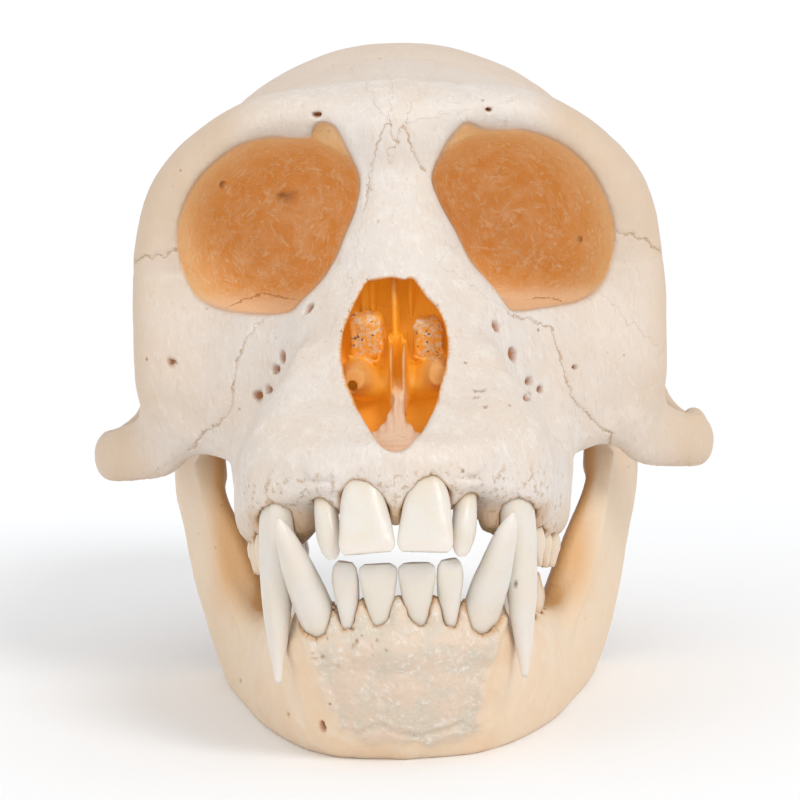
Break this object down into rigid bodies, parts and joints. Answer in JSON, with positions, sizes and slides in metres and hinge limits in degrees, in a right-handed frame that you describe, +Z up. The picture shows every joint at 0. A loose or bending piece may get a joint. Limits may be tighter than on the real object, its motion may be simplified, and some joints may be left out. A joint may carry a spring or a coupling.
{
  "type": "mona monkey skull",
  "caption": "Monkey skull with wide eye sockets, flaring cheek arches, long canine teeth and its lower jaw, standing on the jaw.",
  "frame": {"origin": "middle of the skull's footprint, on the surface that the lower jaw stands on", "axes": "+Z up, +Y backwards from the face to the back of the head, +X to the right as seen from the front"},
  "size_m": [0.0685, 0.1005, 0.071],
  "materials": {
    "bone": "dry cream bone, matt",
    "jaw_bone": "dry bone, warmer and more orange than the face, matt",
    "enamel": "ivory tooth enamel, softly glossy"
  },
  "bodies": {
    "root": {"cranium": "bone", "lower_jaw": "jaw_bone", "upper_incisor_1_left": "enamel", "upper_incisor_1_right": "enamel", "upper_incisor_2_left": "enamel", "upper_incisor_2_right": "enamel", "upper_canine_left": "enamel", "upper_canine_right": "enamel", "upper_premolar_1_left": "enamel", "upper_premolar_1_right": "enamel", "upper_premolar_2_left": "enamel", "upper_premolar_2_right": "enamel", "upper_molar_1_left": "enamel", "upper_molar_1_right": "enamel", "upper_molar_2_left": "enamel", "upper_molar_2_right": "enamel", "upper_molar_3_left": "enamel", "upper_molar_3_right": "enamel", "lower_incisor_1_left": "enamel", "lower_incisor_1_right": "enamel", "lower_incisor_2_left": "enamel", "lower_incisor_2_right": "enamel", "lower_canine_left": "enamel", "lower_canine_right": "enamel", "lower_premolar_1_left": "enamel", "lower_premolar_1_right": "enamel", "lower_premolar_2_left": "enamel", "lower_premolar_2_right": "enamel", "lower_molar_1_left": "enamel", "lower_molar_1_right": "enamel", "lower_molar_2_left": "enamel", "lower_molar_2_right": "enamel", "lower_molar_3_left": "enamel", "lower_molar_3_right": "enamel"}
  },
  "joints": []
}
